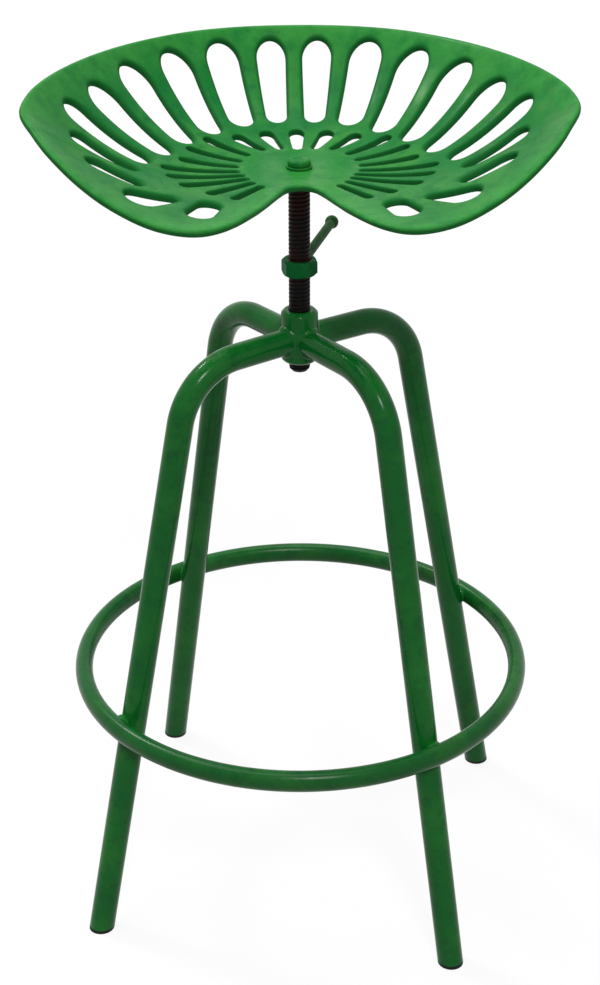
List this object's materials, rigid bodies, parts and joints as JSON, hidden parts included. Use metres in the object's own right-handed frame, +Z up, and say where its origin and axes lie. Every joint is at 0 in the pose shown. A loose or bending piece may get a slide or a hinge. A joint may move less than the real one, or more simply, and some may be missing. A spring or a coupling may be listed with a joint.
{
  "type": "bar stool",
  "caption": "Screw-height stool with a slotted, dished metal tractor seat, a lock nut with lever, bent tube legs and a round footrest.",
  "frame": {"origin": "on the floor, on the axis of the screw, midway between the four feet", "axes": "+Z up along the screw, +Y towards the raised back of the seat, the front notch faces -Y"},
  "size_m": [0.484, 0.4596, 0.8314],
  "materials": {
    "frame": "glossy dark green enamel",
    "seat": "semi-gloss mid green enamel, slightly mottled by wear",
    "thread": "blackened steel, satin",
    "plug": "matte near-black"
  },
  "bodies": {
    "base": {"hub": "frame", "footrest_ring": "frame", "leg_back_right": "frame", "leg_back_left": "frame", "leg_front_left": "frame", "leg_front_right": "frame", "foot_plug_back_right": "plug", "foot_plug_back_left": "plug", "foot_plug_front_left": "plug", "foot_plug_front_right": "plug"},
    "seat_rise": {"seat_washer": "seat"},
    "seat": {"seat_pan": "seat", "seat_bolt": "seat", "seat_flange": "frame", "seat_dowel": "thread", "screw": "thread"},
    "nut_rise": {"lock_nut_bush": "thread"},
    "lock_nut": {"lock_nut": "frame", "lock_lever": "frame", "lever_ball": "frame"}
  },
  "joints": [
    {"name": "seat_lift", "type": "slide", "parent": "base", "child": "seat_rise", "axis": [0, 0, 1], "range_m": [-0.07, 0.008]},
    {"name": "seat_turn", "type": "hinge", "parent": "seat_rise", "child": "seat", "pos_m": [0, 0, 0.7], "axis": [0, 0, 1], "range_deg": [-6300, 720]},
    {"name": "nut_lift", "type": "slide", "parent": "base", "child": "nut_rise", "axis": [0, 0, 1], "range_m": [-0.03489, 0]},
    {"name": "nut_turn", "type": "hinge", "parent": "nut_rise", "child": "lock_nut", "pos_m": [0, 0, 0.6525], "axis": [0, 0, 1], "range_deg": [-3140, 0]}
  ],
  "couplings": [
    {"joint": "seat_lift", "follows": "seat_turn", "m_per_rad": 0.00063662},
    {"joint": "nut_lift", "follows": "nut_turn", "m_per_rad": 0.00063662}
  ]
}
